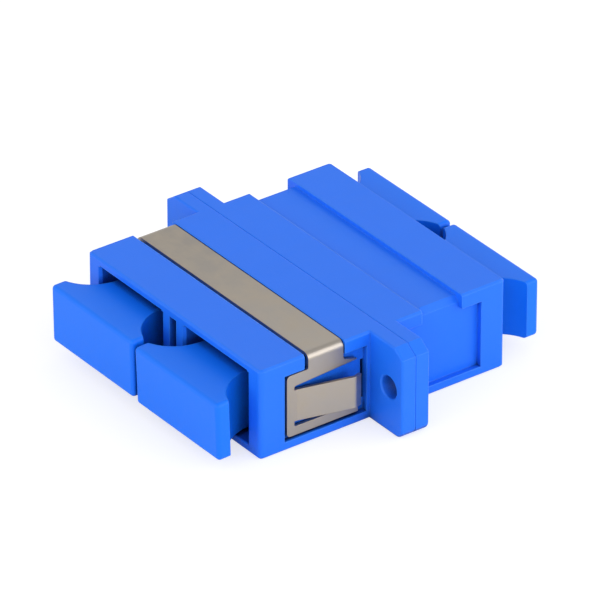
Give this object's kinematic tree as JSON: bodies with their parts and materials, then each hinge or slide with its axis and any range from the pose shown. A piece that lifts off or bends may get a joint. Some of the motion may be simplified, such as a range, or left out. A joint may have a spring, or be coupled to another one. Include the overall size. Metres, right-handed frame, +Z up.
{
  "type": "sc fibre adapter",
  "caption": "Flanged duplex fibre adapter with square push-pull ports front and rear, split alignment sleeves, a sprung panel clip and pull-off dust caps.",
  "frame": {"origin": "centre between the two flange screw holes, on the joint of the two housing halves, at mid-height", "axes": "+X along the flange, +Y along the optical axes towards the rear ports, +Z up; the spring clip is on the -Y half"},
  "size_m": [0.0352, 0.0352, 0.009],
  "materials": {
    "housing_blue": "satin moulded",
    "insert_blue": "satin moulded",
    "cap_blue": "soft satin",
    "spring_steel": "rolled, satin",
    "zirconia": "polished"
  },
  "bodies": {
    "adapter": {"front_housing": "housing_blue", "rear_housing": "housing_blue", "spring_clip": "spring_steel", "front_left_latch": "insert_blue", "front_right_latch": "insert_blue", "rear_left_latch": "insert_blue", "rear_right_latch": "insert_blue", "left_sleeve": "zirconia", "right_sleeve": "zirconia"},
    "front_left_dust_cap": {"front_left_cap": "cap_blue"},
    "front_right_dust_cap": {"front_right_cap": "cap_blue"},
    "rear_left_dust_cap": {"rear_left_cap": "cap_blue"},
    "rear_right_dust_cap": {"rear_right_cap": "cap_blue"}
  },
  "joints": [
    {"name": "front_left_cap_pull", "type": "slide", "parent": "adapter", "child": "front_left_dust_cap", "axis": [0, -1, 0], "range_m": [0, 0.014]},
    {"name": "front_right_cap_pull", "type": "slide", "parent": "adapter", "child": "front_right_dust_cap", "axis": [0, -1, 0], "range_m": [0, 0.014]},
    {"name": "rear_left_cap_pull", "type": "slide", "parent": "adapter", "child": "rear_left_dust_cap", "axis": [0, 1, 0], "range_m": [0, 0.014]},
    {"name": "rear_right_cap_pull", "type": "slide", "parent": "adapter", "child": "rear_right_dust_cap", "axis": [0, 1, 0], "range_m": [0, 0.014]}
  ]
}
